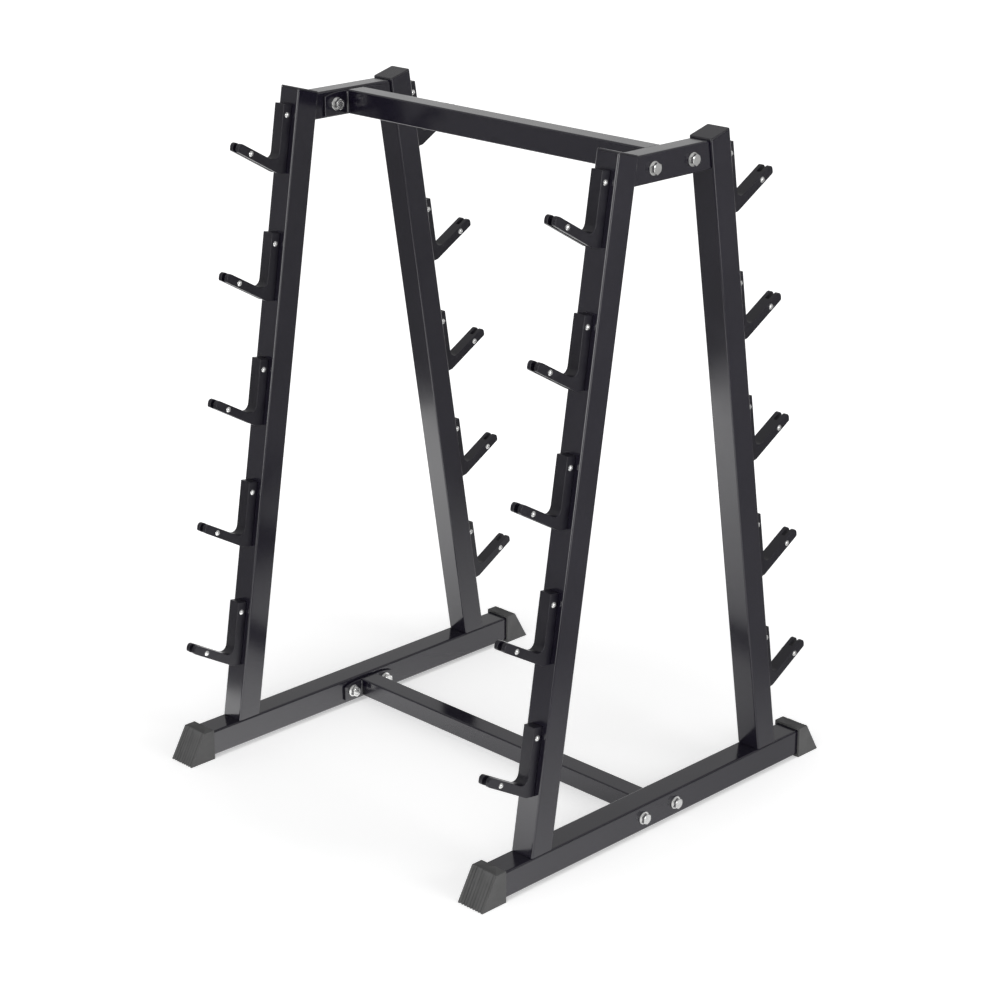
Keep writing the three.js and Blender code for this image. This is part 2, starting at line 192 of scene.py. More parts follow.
@dataclass(frozen=True)
class Finish:
    """A procedural finish with a fine surface texture and a slow drift of colour and gloss.

    Attributes:
        name: The material's name.
        slot: The record's material slot; not used.
        dark: The darker colour of the drift, linear.
        light: The lighter colour of the drift, linear.
        gloss: The lowest and highest roughness.
        drift: How many patches of colour lie in a metre.
        grain: How many bumps of the surface texture lie in a metre.
        relief: How far the texture stands out, in metres.
        bump: The share of the relief that shows.
        metallic: The share of bare metal.
        ior: The index of refraction of a surface that isn't bare metal.
        groove: The share of its colour that painted shade takes away at the bottom of the grooves that a
            mesh marks.
        drift_detail: How many finer layers the drift has.
        grain_detail: How many finer layers the surface texture has.
        pattern: The values of the drift where its two ends are reached.
    """

    name: str
    slot: str
    dark: tuple[float, float, float]
    light: tuple[float, float, float]
    gloss: Span
    drift: float
    grain: float
    relief: float
    bump: float
    metallic: float = 0.0
    ior: float = 1.5
    groove: float = 0.0
    drift_detail: float = 3.0
    grain_detail: float = 2.0
    pattern: Span = (0.35, 0.65)

    def material(self) -> Material:
        """Builds the material once, and gives the same one after that.

        Returns:
            The material with its nodes.
        """
        found = bpy.data.materials.get(self.name)
        if found:
            return found
        material = bpy.data.materials.new(self.name)
        nodes = Nodes(material)
        place = nodes.add("ShaderNodeTexCoord", {}, "Object")
        patches = self.noise(nodes, place, self.drift, self.drift_detail)
        texture = self.noise(nodes, place, self.grain, self.grain_detail)
        relief = {"Strength": self.bump, "Distance": self.relief, "Height": texture}
        nodes.fill("Principled BSDF", {
            "Base Color": self.colour(nodes, patches),
            "Metallic": self.metallic,
            "Roughness": nodes.spread(patches, self.pattern, self.gloss),
            "IOR": self.ior,
            "Normal": nodes.add("ShaderNodeBump", relief, "Normal"),
        })
        return material

    @staticmethod
    def noise(nodes: Nodes, place: NodeSocket, scale: float, detail: float) -> NodeSocket:
        """Adds noise of a scale per metre, with finer layers."""
        return nodes.add("ShaderNodeTexNoise", {"Vector": place, "Scale": scale, "Detail": detail}, "Fac")

    def colour(self, nodes: Nodes, patches: NodeSocket) -> NodeSocket:
        """Drifts between the two colours, and paints shade into the grooves that a mesh marks.

        Args:
            nodes: The material's nodes.
            patches: The drift.

        Returns:
            The colour.
        """
        ramp = nodes.tree.nodes.new("ShaderNodeValToRGB")
        for stop, position, colour in zip(ramp.color_ramp.elements, self.pattern, (self.dark, self.light)):
            stop.position, stop.color = position, (*colour, 1)
        nodes.fill(ramp.name, {"Fac": patches})
        shown = ramp.outputs["Color"]
        # Painted shade: the colour darkens toward the bottom of each marked groove.
        if self.groove:
            groove_shade = nodes.tree.nodes.new("ShaderNodeAttribute")
            groove_shade.attribute_name = GROOVE_SHADE_MARK
            share = nodes.maths("MULTIPLY_ADD", groove_shade.outputs["Fac"], -self.groove, 1)
            shown = nodes.add("ShaderNodeVectorMath", {"Vector": shown, "Scale": share}, "Vector", "SCALE")
        return shown


POWDER_COAT = Finish(
    name="charcoal powder coat", slot="powder_coat",
    dark=(0.0058, 0.0044, 0.0112), light=(0.0078, 0.0062, 0.014), gloss=(0.13, 0.19),
    drift=9, grain=700, relief=0.00012, bump=0.05, ior=1.8,
)
HOOK_PLASTIC = Finish(
    name="black moulded plastic", slot="hook_plastic",
    dark=(0.0035, 0.0025, 0.0078), light=(0.005, 0.0038, 0.0098), gloss=(0.3, 0.38),
    drift=30, grain=2600, relief=0.00006, bump=0.08, ior=1.6,
)
CAP_PLASTIC = Finish(
    name="grained black plastic", slot="cap_plastic",
    dark=(0.0165, 0.0152, 0.0205), light=(0.022, 0.0205, 0.0265), gloss=(0.25, 0.33),
    drift=25, grain=2200, relief=0.0001, bump=0.12, ior=1.65,
)
# The rubber's groove share paints shade into the grooves between a foot's ribs.
FOOT_RUBBER = Finish(
    name="grey rubber", slot="foot_rubber",
    dark=(0.1, 0.1, 0.1), light=(0.119, 0.119, 0.119), gloss=(0.7, 0.85),
    drift=40, grain=1800, relief=0.0002, bump=0.25, ior=1.35, groove=0.3,
)
ZINC_PLATE = Finish(
    name="bright zinc plate", slot="zinc_plate",
    dark=(0.86, 0.86, 0.85), light=(0.94, 0.94, 0.93), gloss=(0.13, 0.19),
    drift=120, grain=1500, relief=0.00004, bump=0.05, metallic=0.9,
)


# Mesh tools


def whole(bm: BMesh) -> list[BMVert | BMEdge | BMFace]:
    """Gives everything that a mesh holds."""
    return [*bm.verts, *bm.edges, *bm.faces]


def only(kind: type, things: Iterable[BMVert | BMEdge | BMFace]) -> list[BMVert | BMEdge | BMFace]:
    """Gives the things of one kind."""
    return [thing for thing in things if isinstance(thing, kind)]


def solid_box(size: Iterable[float], centre: Iterable[float] = (0, 0, 0)) -> BMesh:
    """Makes a box.

    Args:
        size: Its size along X, Y and Z.
        centre: Where its middle is.

    Returns:
        The new mesh.
    """
    bm = bmesh.new()
    place = Matrix.Translation(Vector(centre)) @ Matrix.Diagonal((*size, 1))
    bmesh.ops.create_cube(bm, size=1, matrix=place)
    return bm


def edges_along(bm: BMesh, axis: int) -> list[BMEdge]:
    """Finds the edges that run along an axis, which is 0, 1 or 2."""
    return [e for e in bm.edges if abs((e.verts[0].co - e.verts[1].co).normalized()[axis]) > ALONG]


def round_off(bm: BMesh, edges: list[BMEdge], radius: float, steps: int) -> None:
    """Rounds edges.

    Args:
        bm: The mesh.
        edges: The edges.
        radius: The radius of the rounding.
        steps: How many faces the rounding has.
    """
    bmesh.ops.bevel(
        bm, geom=edges, offset=radius, offset_type="OFFSET", segments=steps, profile=0.5,
        affect="EDGES", material=-1, clamp_overlap=True,
    )


def soften(bm: BMesh, radius: float, steps: int = 4, angle: float = SHARP_ANGLE) -> None:
    """Rounds every sharp edge a little, as paint, moulding or machining leaves it.

    Args:
        bm: The mesh.
        radius: The radius of the rounding.
        steps: How many faces the rounding has.
        angle: The least angle between two faces that counts as sharp.
    """
    bmesh.ops.recalc_face_normals(bm, faces=bm.faces)
    round_off(bm, [e for e in bm.edges if e.is_manifold and e.calc_face_angle() > angle], radius, steps)


def join_flat_faces(bm: BMesh) -> None:
    """Makes faces that lie in one plane into one face."""
    bmesh.ops.dissolve_limit(bm, angle_limit=FLAT_ANGLE, verts=bm.verts, edges=bm.edges)


def slice_off(bm: BMesh, point: Iterable[float], normal: Iterable[float]) -> None:
    """Cuts away what lies beyond a plane, and closes the cut.

    Args:
        bm: The mesh.
        point: A point on the plane.
        normal: The direction of the side that is cut away.
    """
    cut = bmesh.ops.bisect_plane(
        bm, geom=whole(bm), dist=SAME_PLANE, plane_co=Vector(point), plane_no=Vector(normal),
        clear_outer=True,
    )
    bmesh.ops.contextual_create(bm, geom=only(BMEdge, cut["geom_cut"]))


def bore_through(bm: BMesh, axis: int, wall: float) -> None:
    """Makes a closed bar into a tube, open at both ends.

    Args:
        bm: The bar.
        axis: The axis that it runs along.
        wall: The thickness of the tube's wall.
    """
    bmesh.ops.recalc_face_normals(bm, faces=bm.faces)
    ranked = sorted(bm.faces, key=lambda face: face.calc_center_median()[axis])
    ends = [ranked[0], ranked[-1]]
    bmesh.ops.inset_region(bm, faces=ends, thickness=wall, use_even_offset=True, use_boundary=True)
    loops = [edge for face in ends for edge in face.edges]
    bmesh.ops.delete(bm, geom=ends, context="FACES_ONLY")
    bmesh.ops.bridge_loops(bm, edges=loops)


def polygon(bm: BMesh, points: Iterable[Iterable[float]]) -> BMFace:
    """Makes one flat face from its corners in order."""
    return bm.faces.new([bm.verts.new(Vector(point)) for point in points])


def round_corner(bm: BMesh, corner: BMVert, radius: float, steps: int) -> None:
    """Rounds one corner of a flat outline by an arc.

    Args:
        bm: The mesh.
        corner: The corner, where two edges meet.
        radius: The radius of the arc.
        steps: How many straight steps the arc has.
    """
    first, second = ((e.other_vert(corner).co - corner.co).normalized() for e in corner.link_edges)
    reach = radius / math.tan(first.angle(second) / 2)
    bmesh.ops.bevel(
        bm, geom=[corner], offset=reach, offset_type="OFFSET", segments=steps, profile=0.5,
        affect="VERTICES", material=-1, clamp_overlap=False,
    )


def push(bm: BMesh, faces: list[BMFace], way: Iterable[float]) -> list[BMFace]:
    """Extrudes faces.

    Args:
        bm: The mesh.
        faces: The faces.
        way: How far and in which direction they move.

    Returns:
        The faces at the far end.
    """
    edges = dict.fromkeys(edge for face in faces for edge in face.edges)
    out = bmesh.ops.extrude_face_region(bm, geom=[*faces, *edges])["geom"]
    bmesh.ops.translate(bm, vec=Vector(way), verts=only(BMVert, out))
    return only(BMFace, out)


def turned(profile: Iterable[Span], steps: int) -> BMesh:
    """Turns a profile about the X axis.

    Args:
        profile: Points (along X, radius) of the profile.
        steps: How many faces go round.

    Returns:
        The new mesh, with its faces pointing out.
    """
    bm = bmesh.new()
    verts = [bm.verts.new((along, radius, 0)) for along, radius in profile]
    edges = [bm.edges.new(pair) for pair in zip(verts, verts[1:])]
    bmesh.ops.spin(
        bm, geom=[*verts, *edges], cent=(0, 0, 0), axis=(1, 0, 0), angle=2 * math.pi,
        steps=steps, use_merge=True, use_duplicate=False,
    )
    bmesh.ops.remove_doubles(bm, verts=bm.verts, dist=SAME_PLACE)
    bmesh.ops.recalc_face_normals(bm, faces=bm.faces)
    return bm


def merge(target: BMesh, extra: BMesh, place: Matrix = UNMOVED) -> None:
    """Adds one mesh to another and frees it.

    Args:
        target: The mesh that grows.
        extra: The mesh that is added.
        place: Where it goes.
    """
    bmesh.ops.transform(extra, matrix=place, verts=extra.verts)
    copy = bpy.data.meshes.new("part")
    extra.to_mesh(copy)
    extra.free()
    target.from_mesh(copy)
    bpy.data.meshes.remove(copy)


def add_object(name: str, data: bpy.types.ID) -> bpy.types.Object:
    """Adds an object to the scene.

    Args:
        name: The object's name.
        data: Its mesh, lamp or camera.

    Returns:
        The object, at the origin.
    """
    thing = bpy.data.objects.new(name, data)
    bpy.context.scene.collection.objects.link(thing)
    return thing


def add_mesh(name: str, bm: BMesh, material: Material) -> bpy.types.Object:
    """Adds a mesh to the scene.

    Args:
        name: The object's name.
        bm: Its mesh, which is freed.
        material: Its material.

    Returns:
        The object, at the origin, with its place in its mesh.
    """
    mesh = bpy.data.meshes.new(name)
    bm.to_mesh(mesh)
    bm.free()
    mesh.materials.append(material)
    return add_object(name, mesh)


def finish_piece(
    name: str, bm: BMesh, finish: Finish, replaced: Iterable[str] = (), place: Matrix = UNMOVED,
) -> None:
    """Makes the scene's piece from a mesh: places it, dresses it and fixes it to the rack.

    Args:
        name: The piece's name.
        bm: Its mesh, which is freed.
        finish: Its finish.
        replaced: The construction's nodes that it stands for.
        place: Where it goes.
    """
    bmesh.ops.transform(bm, matrix=place, verts=bm.verts)
    for face in bm.faces:
        face.smooth = True
    piece = add_mesh(name, bm, finish.material())
    piece.data.set_sharp_from_angle(angle=SHARP_ANGLE)
    piece.modifiers.new("even shading", "WEIGHTED_NORMAL").keep_sharp = True
    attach(piece, BODY)
    if replaced:
        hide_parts(*replaced)
    log.info("%s: %d faces", name, len(piece.data.polygons))


# Tubes


@dataclass
class SquareTube:
    """A welded square tube with rounded corners.

    Attributes:
        corner: The radius of its outer corners.
        wall: The thickness of its wall.
        edge: The rounding that the paint leaves on its cut ends.
        corner_steps: How many faces each corner has.
    """

    corner: float = 0.004
    wall: float = 0.003
    edge: float = 0.0006
    corner_steps: int = 8

    def bar(self, low: Vector, high: Vector, axis: int) -> BMesh:
        """Makes the closed bar that the tube is cut from.

        Args:
            low: Its lowest corner.
            high: Its highest corner.
            axis: The axis that it runs along.

        Returns:
            The bar, with rounded corners.
        """
        bm = solid_box(high - low, (low + high) / 2)
        round_off(bm, edges_along(bm, axis), self.corner, self.corner_steps)
        return bm

    def open_up(self, bm: BMesh, axis: int) -> None:
        """Hollows the bar along an axis and softens its cut ends."""
        bore_through(bm, axis, self.wall)
        soften(bm, self.edge)


@dataclass
class BaseTube(SquareTube):
    """The tube of an A-frame that lies on the floor."""

    def build(self, side: Frame) -> None:
        """Builds the base tube of one frame.

        Args:
            side: The frame.
        """
        node = f"{side}_base_tube"
        bm = self.bar(*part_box(node), axis=1)
        self.open_up(bm, axis=1)
        finish_piece(f"{node}_steel", bm, POWDER_COAT, [node])


@dataclass
class Lean:
    """Where the leaning posts stand, and how far they lean.

    Attributes:
        angle: The lean from upright.
        foot: From the middle of the rack to a post's axis at its foot.
        floor: The height of the foot.
        frame_offset: From the middle of the rack to the middle of each frame.
        depth: The post's depth across the lean.
    """

    angle: float = math.radians(9.09)
    foot: float = 0.3042
    floor: float = 0.055
    frame_offset: float = 0.392
    depth: float = 0.05

    def place(self, side: Frame, end: End) -> Matrix:
        """Gives the place of one post.

        Args:
            side: Its frame.
            end: Its end of the frame.

        Returns:
            The matrix from the upright post, with its outer face toward -Y, to the rack.
        """
        stand = Matrix.Translation((0, -self.foot, self.floor)) @ Matrix.Rotation(-self.angle, 4, "X")
        return Matrix.Translation((side.value * self.frame_offset, 0, 0)) @ end.turn @ stand

    @property
    def slope(self) -> float:
        """The tangent of the lean."""
        return math.tan(self.angle)


@dataclass
class Post(SquareTube):
    """A leaning post.

    Attributes:
        lean: Where it stands.
        width: Its width along X.
        peak: The height of the highest edge of the steel above the floor.
        top_slope: How steeply the top face falls toward the middle of the rack.
    """

    lean: Lean = field(default_factory=Lean)
    width: float = 0.05
    peak: float = 1.2494
    top_slope: float = math.radians(15.3)

    @property
    def cut_slope(self) -> float:
        """How much the top cut falls across the post, drawn upright."""
        return math.tan(self.top_slope - self.lean.angle)

    @property
    def length(self) -> float:
        """The length of the outer face, drawn upright."""
        rise = self.peak - self.lean.floor - self.lean.depth / 2 * math.sin(self.lean.angle)
        return rise / math.cos(self.lean.angle)

    def build(self, side: Frame, end: End) -> None:
        """Builds one post.

        Args:
            side: Its frame.
            end: Its end of the frame.
        """
        node = f"{side}_{end}_post"
        half = self.lean.depth / 2
        spare = half
        low, high = (-self.width / 2, -half, -spare), (self.width / 2, half, self.length + spare)
        bm = self.bar(Vector(low), Vector(high), axis=2)
        slice_off(bm, (0, 0, FIT_GAP / math.cos(self.lean.angle)), (0, self.lean.slope, -1))
        slice_off(bm, (0, -half, self.length), (0, self.cut_slope, 1))
        self.open_up(bm, axis=2)
        finish_piece(f"{node}_steel", bm, POWDER_COAT, [node], self.lean.place(side, end))


@dataclass
class TopTube(SquareTube):
    """The short tube between the two posts of a frame, cut to their lean."""

    lean: Lean = field(default_factory=Lean)

    def build(self, side: Frame) -> None:
        """Builds the top tube of one frame.

        Args:
            side: The frame.
        """
        node = f"{side}_top_tube"
        low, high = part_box(node)
        bm = self.bar(low, high, axis=1)
        for end in End:
            slice_off(bm, (0, end.value * high.y, low.z), (0, end.value, self.lean.slope))
        self.open_up(bm, axis=1)
        finish_piece(f"{node}_steel", bm, POWDER_COAT, [node])


@dataclass
class PostCap:
    """The moulded lid on a post, with its plug.

    Attributes:
        post: The post that it closes.
        thickness: The lid's thickness.
        edge: The rounding of its upper edge.
        edge_steps: How many faces the rounding has.
        plug_depth: How far its plug reaches into the post.
        plug_wall: The thickness of the plug's wall.
    """

    post: Post = field(default_factory=Post)
    thickness: float = 0.003
    edge: float = 0.0022
    edge_steps: int = 4
    plug_depth: float = 0.014
    plug_wall: float = 0.002

    def build(self, side: Frame, end: End) -> None:
        """Builds the cap of one post.

        Args:
            side: Its frame.
            end: Its end of the frame.
        """
        node = f"{side}_{end}_post_cap"
        width, depth = self.post.width, self.post.lean.depth
        bm = solid_box((width, depth, self.thickness), (0, 0, self.thickness / 2))
        round_off(bm, edges_along(bm, 2), self.post.corner, self.post.corner_steps)
        rim = [e for e in bm.edges if all(v.co.z > self.thickness - SAME_PLACE for v in e.verts)]
        round_off(bm, rim, self.edge, self.edge_steps)
        inner = 2 * (self.post.wall + FIT_GAP)
        plug = solid_box((width - inner, depth - inner, self.plug_depth), (0, 0, -self.plug_depth / 2))
        bore_through(plug, 2, self.plug_wall)
        merge(bm, plug)
        shear = Matrix.Identity(4)
        shear[2][1] = -self.post.cut_slope
        lift = self.post.length - depth / 2 * self.post.cut_slope + FIT_GAP
        place = self.post.lean.place(side, end) @ Matrix.Translation((0, 0, lift)) @ shear
        finish_piece(f"{node}_moulding", bm, CAP_PLASTIC, [node], place)


# Hooks


@dataclass
class HookOutline:
    """The L of a hook. out runs away from the post's face, and up along the post.

    Attributes:
        back: Where the hook starts, out from the face.
        bottom: The level of its base.
        heel: Where its underside starts to rise.
        front: The depth of its leg.
        top: The level of the leg's top.
        thickness: The thickness of its arm.
        rise: The angle of the arm above square to the post.
    """

    back: float
    bottom: float
    heel: float
    front: float
    top: float
    thickness: float
    rise: float

    def under(self, out: float) -> float:
        """The level of the arm's underside at a distance from the face."""
        return self.bottom + (out - self.heel) * math.tan(self.rise)

    def upper(self, out: float, skin: float = 0.0) -> float:
        """The level of the arm's upper side, or of its skin's underside, at a distance from the face."""
        return self.under(out) + (self.thickness - skin) / math.cos(self.rise)


@dataclass
class Hook:
    """A hook: a steel plate on edge in a moulded sleeve, held by two screws.

    Attributes:
        lean: Where the posts stand.
        count: How many hooks a post carries.
        pitch: The distance between them, along the post.
        first: From the foot of the post's outer face to the lowest hook's base.
        width: The sleeve's width.
        leg: The length of its leg.
        depth: The depth of its leg.
        rise: The angle of the arm above square to the post.
        arm: The thickness of the arm.
        reach: From the post's face to the tip.
        heel: From the post's face to where the underside starts to rise.
        cradle: The radius of the cradle.
        cradle_steps: How many straight steps it has.
        tip_top: The radius of the tip's upper corner.
        tip_top_steps: How many straight steps it has.
        tip_bottom: The radius of the tip's lower corner.
        tip_bottom_steps: How many straight steps it has.
        skin: The plastic over the plate's edge.
        plate: The plate's thickness.
        plate_reach: From the post's face to the plate's end.
        plate_inset: How far the plate's lower edge lies inside the sleeve.
        weld: How far the plate's back edge reaches into the post's wall.
        moulded_edge: The rounding of the sleeve's edges.
        plate_edge: The rounding of the plate's edges.
    """

    lean: Lean = field(default_factory=Lean)
    count: int = 5
    pitch: float = 0.236
    first: float = 0.1109
    width: float = 0.025
    leg: float = 0.1262
    depth: float = 0.02
    rise: float = math.radians(21)
    arm: float = 0.0171
    reach: float = 0.1168
    heel: float = 0.019
    cradle: float = 0.014
    cradle_steps: int = 10
    tip_top: float = 0.008
    tip_top_steps: int = 8
    tip_bottom: float = 0.004
    tip_bottom_steps: int = 6
    skin: float = 0.004
    plate: float = 0.008
    plate_reach: float = 0.092
    plate_inset: float = 0.001
    weld: float = 0.001
    moulded_edge: float = 0.0008
    plate_edge: float = 0.0005

    def base(self, index: int) -> float:
        """The level of a hook's base above the foot of the post's axis; 0 is the lowest hook."""
        return self.first + index * self.pitch - self.lean.depth / 2 * self.lean.slope

    def point(self, x: float, out: float, up: float) -> Vector:
        """A point of the hook in the upright post's frame."""
        return Vector((x, -self.lean.depth / 2 - out, up))

    def sleeve_outline(self) -> HookOutline:
        """The sleeve's outer outline, with its base at the level 0."""
        return HookOutline(FIT_GAP, 0, self.heel, self.depth, self.leg, self.arm, self.rise)

    def plate_outline(self) -> HookOutline:
        """The steel plate's outline, with the sleeve's base at the level 0."""
        slack = self.skin + FIT_GAP
        return HookOutline(
            -self.weld, self.plate_inset, self.heel, self.depth - slack, self.leg - slack,
            self.arm - slack - self.plate_inset, self.rise,
        )

    def build_sleeve(self) -> BMesh:
        """Builds the moulded sleeve: two cheeks joined by a skin over the plate's edge.

        Returns:
            The sleeve, with its base at the level 0.
        """
        line, end, skin, reach = self.sleeve_outline(), self.plate_reach + FIT_GAP, self.skin, self.reach
        pocket = line.front - skin
        spots = {
            "base_back": (line.back, line.bottom), "base_heel": (line.heel, line.bottom),
            "split_under": (end, line.under(end)), "tip_under": (reach, line.under(reach)),
            "tip_upper": (reach, line.upper(reach)), "split_upper": (end, line.upper(end)),
            "cradle": (line.front, line.upper(line.front)), "leg_front": (line.front, line.top),
            "leg_back": (line.back, line.top), "pocket_top": (line.back, line.top - skin),
            "pocket_front": (pocket, line.top - skin), "pocket_cradle": (pocket, line.upper(pocket, skin)),
            "split_middle": (end, line.upper(end, skin)),
        }
        bm = bmesh.new()
        skin_mark = bm.faces.layers.int.new("skin")
        at = {name: bm.verts.new(self.point(-self.width / 2, *spot)) for name, spot in spots.items()}
        inside = ("split_middle", "pocket_cradle", "pocket_front", "pocket_top")
        for names in (
            ("base_back", "base_heel", "split_under", *inside),
            ("split_under", "tip_under", "tip_upper", "split_upper", "split_middle"),
            ("leg_back", "leg_front", "cradle", "split_upper", *inside),
        ):
            bm.faces.new([at[name] for name in names])[skin_mark] = int("leg_back" in names)
        round_corner(bm, at["tip_upper"], self.tip_top, self.tip_top_steps)
        round_corner(bm, at["tip_under"], self.tip_bottom, self.tip_bottom_steps)
        round_corner(bm, at["cradle"], self.cradle, self.cradle_steps)
        round_corner(bm, at["pocket_cradle"], self.cradle + skin, self.cradle_steps)
        slot = self.plate + 2 * FIT_GAP
        inner = push(bm, list(bm.faces), ((self.width - slot) / 2, 0, 0))
        middle = push(bm, [face for face in inner if face[skin_mark]], (slot / 2, 0, 0))
        bmesh.ops.delete(bm, geom=middle, context="FACES_ONLY")
        bmesh.ops.mirror(bm, geom=whole(bm), matrix=UNMOVED, merge_dist=SAME_PLACE, axis="X")
        join_flat_faces(bm)
        soften(bm, self.moulded_edge, angle=OUTLINE_ANGLE)
        return bm

    def build_plate(self) -> BMesh:
        """Builds the steel plate.

        Returns:
            The plate, with the sleeve's base at the level 0.
        """
        line, reach = self.plate_outline(), self.plate_reach
        cradle = (line.front, line.upper(line.front))
        spots = (
            cradle, (line.front, line.top), (line.back, line.top), (line.back, line.bottom),
            (line.heel, line.bottom), (reach, line.under(reach)), (reach, line.upper(reach)),
        )
        bm = bmesh.new()
        face = polygon(bm, [self.point(-self.plate / 2, *spot) for spot in spots])
        round_corner(bm, face.verts[0], self.cradle + self.skin + FIT_GAP, self.cradle_steps)
        push(bm, list(bm.faces), (self.plate, 0, 0))
        soften(bm, self.plate_edge, angle=OUTLINE_ANGLE)
        return bm

    def screw_spots(self, screw: "HookScrew") -> tuple[Vector, Vector]:
        """Gives the places of the two screws.

        Args:
            screw: The screw.

        Returns:
            Where each of them passes through the sleeve, on its middle plane.
        """
        line, out = self.sleeve_outline(), self.plate_reach - screw.arm_inset
        leg = self.point(0, self.depth / 2, self.leg - screw.leg_inset)
        return leg, self.point(0, out, (line.under(out) + line.upper(out)) / 2)

    def build(self, side: Frame, end: End) -> None:
        """Builds the hooks of one post.

        Args:
            side: The post's frame.
            end: Its end of the frame.
        """
        post, place, screw = f"{side}_{end}", self.lean.place(side, end), HookScrew()
        for number in range(1, self.count + 1):
            lift = place @ Matrix.Translation((0, 0, self.base(number - 1)))
            node = f"{post}_hook_sleeve_{number}"
            finish_piece(f"{node}_moulding", self.build_sleeve(), HOOK_PLASTIC, [node], lift)
            finish_piece(f"{post}_hook_plate_{number}", self.build_plate(), POWDER_COAT, place=lift)
            fixings = bmesh.new()
            for spot in self.screw_spots(screw):
                merge(fixings, screw.build(self.width), Matrix.Translation(spot) @ end.turn)
            finish_piece(f"{post}_hook_fixings_{number}", fixings, ZINC_PLATE, place=lift)


# Fasteners


@dataclass
class Hexagon:
    """A bolt head or a nut along X, with its outer corners turned down to a cone.

    Attributes:
        flats: Its width across flats.
        height: Its height.
        start: Where its seat is, along X.
        bore: The diameter of its hole, or 0 for a closed head.
        side_steps: How many faces each of the six sides has.
        cone_angle: How far the cone falls below square to the axis.
        cone_share: The share of the flats where the cone starts.
        face_share: The share of the flats of the disc inside a head's end face.
        lip_share: The share of the bore of the lip round it.
    """

    flats: float
    height: float
    start: float
    bore: float = 0.0
    side_steps: int = 8
    cone_angle: float = math.radians(30)
    cone_share: float = 0.945
    face_share: float = 0.88
    lip_share: float = 0.02

    def side_radius(self, vert: BMVert) -> float:
        """The distance from the axis to the hexagon's side, in a vertex's direction."""
        angle = (math.atan2(vert.co.z, vert.co.y) + math.pi / 6) % (math.pi / 3)
        return self.flats / 2 / math.cos(angle - math.pi / 6)

    def set_ring(self, verts: Iterable[BMVert], spot: Callable[[float], Span]) -> None:
        """Moves a ring of points without turning them about the axis.

        Args:
            verts: The points.
            spot: Gives a point's place along X and its radius from the radius of the hexagon's side.
        """
        for vert in verts:
            x, radius = spot(self.side_radius(vert))
            out = Vector((0, vert.co.y, vert.co.z)).normalized() * radius
            vert.co = Vector((x, out.y, out.z))

    def build(self) -> BMesh:
        """Builds the head or the nut.

        Returns:
            The new mesh.
        """
        end, cone = self.start + self.height, self.flats / 2 * self.cone_share
        fall, lip = math.tan(self.cone_angle), self.lip_share * self.bore
        spots = [lambda side: (end - (side - cone) * fall, side), lambda side: (end, cone)]
        if self.bore:
            spots += [
                lambda side: (end, self.bore / 2 + lip), lambda side: (end - lip, self.bore / 2),
                lambda side: (self.start, self.bore / 2),
            ]
        else:
            spots += [lambda side: (end, self.flats / 2 * self.face_share)]
        bm = bmesh.new()
        upright = Matrix.Rotation(math.pi / 2, 4, "Y")
        bmesh.ops.create_circle(bm, cap_ends=False, segments=6 * self.side_steps, radius=1, matrix=upright)
        self.set_ring(bm.verts, lambda side: (self.start, side))
        seat = ring = list(bm.edges)
        for spot in spots:
            out = bmesh.ops.extrude_edge_only(bm, edges=ring)["geom"]
            self.set_ring(only(BMVert, out), spot)
            ring = only(BMEdge, out)
        if self.bore:
            bmesh.ops.bridge_loops(bm, edges=[*seat, *ring])
        else:
            bmesh.ops.contextual_create(bm, geom=ring)
            bmesh.ops.contextual_create(bm, geom=seat)
        bmesh.ops.recalc_face_normals(bm, faces=bm.faces)
        return bm


@dataclass
class HookScrew:
    """A round-headed screw through a hook, with its nut on the other side.

    Attributes:
        head: The head's diameter.
        head_steps: How many faces go round the head.
        dome: The height of the domed head.
        dome_steps: How many straight steps the dome has from its rim to its middle.
        rim: The height of the head's straight rim.
        shank: The thread's diameter.
        shank_steps: How many faces go round the thread.
        chamfer: The chamfer on the thread's end.
        nut: The nut's width across flats.
        nut_height: Its height.
        stub: How far the thread stands out of the nut.
        leg_inset: From the leg's top to the upper screw.
        arm_inset: From the plate's end to the lower screw.
    """

    head: float = 0.0106
    head_steps: int = 24
    dome: float = 0.0026
    dome_steps: int = 6
    rim: float = 0.0006
    shank: float = 0.005
    shank_steps: int = 18
    chamfer: float = 0.0004
    nut: float = 0.008
    nut_height: float = 0.0038
    stub: float = 0.0016
    leg_inset: float = 0.0197
    arm_inset: float = 0.0053

    def build(self, width: float) -> BMesh:
        """Builds one screw and its nut.

        Args:
            width: The width of the sleeve that they clamp.

        Returns:
            The new mesh, with the screw along X, its head toward +X and its middle at the origin.
        """
        face, radius, shank = width / 2, self.head / 2, self.shank / 2
        ball = (radius**2 + self.dome**2) / (2 * self.dome)
        centre = face + self.rim + self.dome - ball
        turns = [math.asin(radius / ball) * i / self.dome_steps for i in range(self.dome_steps + 1)]
        arc = [(centre + ball * math.cos(turn), ball * math.sin(turn)) for turn in turns]
        bm = turned([*arc, (face, radius), (face, 0)], self.head_steps)
        merge(bm, Hexagon(self.nut, self.nut_height, face, self.shank).build(), HALF_TURN)
        tail = -face - self.nut_height - self.stub
        merge(bm, turned([
            (tail, 0), (tail, shank - self.chamfer), (tail + self.chamfer, shank),
            (-face, shank), (-face, 0),
        ], self.shank_steps))
        return bm


